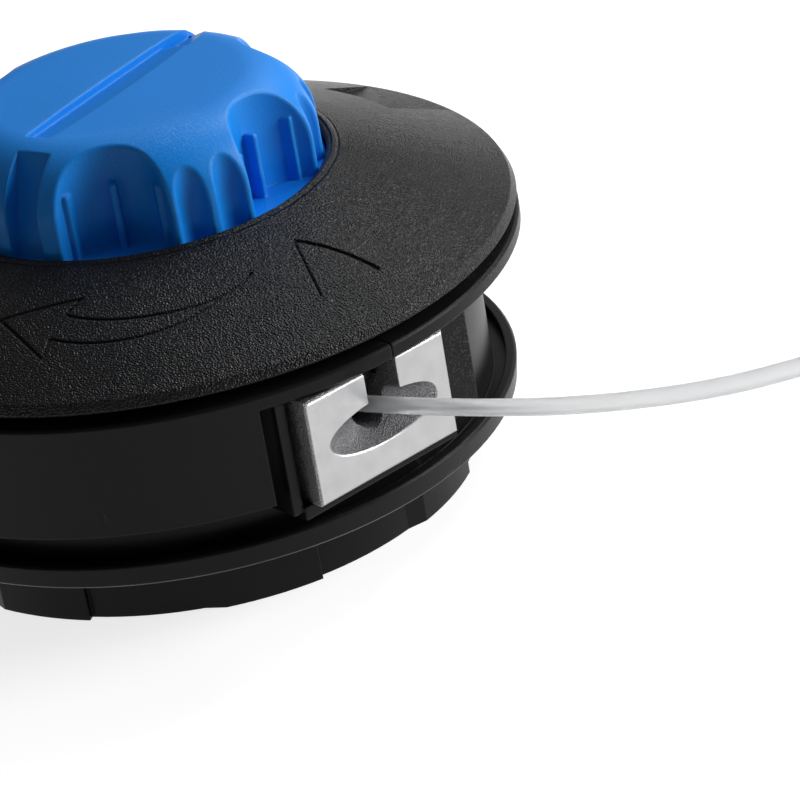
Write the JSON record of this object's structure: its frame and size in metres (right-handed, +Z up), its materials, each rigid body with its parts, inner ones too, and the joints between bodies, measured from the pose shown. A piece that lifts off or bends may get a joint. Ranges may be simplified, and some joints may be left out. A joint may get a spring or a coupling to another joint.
{
  "type": "trimmer head",
  "caption": "Tap-to-feed grass trimmer head: round housing with line eyelets, clip-on conical cover and a scalloped tap knob on a sprung line spool.",
  "frame": {"origin": "on the spin axis, at the underside of the grip ring that the head stands on", "axes": "+Z up the spin axis towards the tap knob; -Y out through the near eyelet that the line leaves by"},
  "size_m": [0.11, 0.2056, 0.0641],
  "materials": {
    "black_plastic": "fine satin texture",
    "blue_plastic": "satin",
    "spool_plastic": "satin",
    "die_cast": "satin cast",
    "steel": "zinc plated",
    "line_nylon": "translucent nylon"
  },
  "bodies": {
    "body": {"housing": "black_plastic", "drive_nut": "steel", "near_eyelet": "die_cast", "far_eyelet": "die_cast", "line": "line_nylon"},
    "lid": {"cover": "black_plastic"},
    "seat": {"spring_washer": "steel", "spool_spring": "steel"},
    "reel": {"spool": "spool_plastic", "tap_knob": "blue_plastic", "upper_winding": "line_nylon", "lower_winding": "line_nylon"}
  },
  "joints": [
    {"name": "cover_lift", "type": "slide", "parent": "body", "child": "lid", "axis": [0, 0, 1], "range_m": [0, 0.04]},
    {"name": "spool_turn", "type": "hinge", "parent": "body", "child": "seat", "pos_m": [0, 0, 0.0125], "axis": [0, 0, 1], "continuous": true},
    {"name": "knob_tap", "type": "slide", "parent": "seat", "child": "reel", "axis": [0, 0, -1], "range_m": [0, 0.006], "stiffness_N_per_m": 900, "springref_m": -0.012, "deforming": ["spool_spring"]}
  ]
}
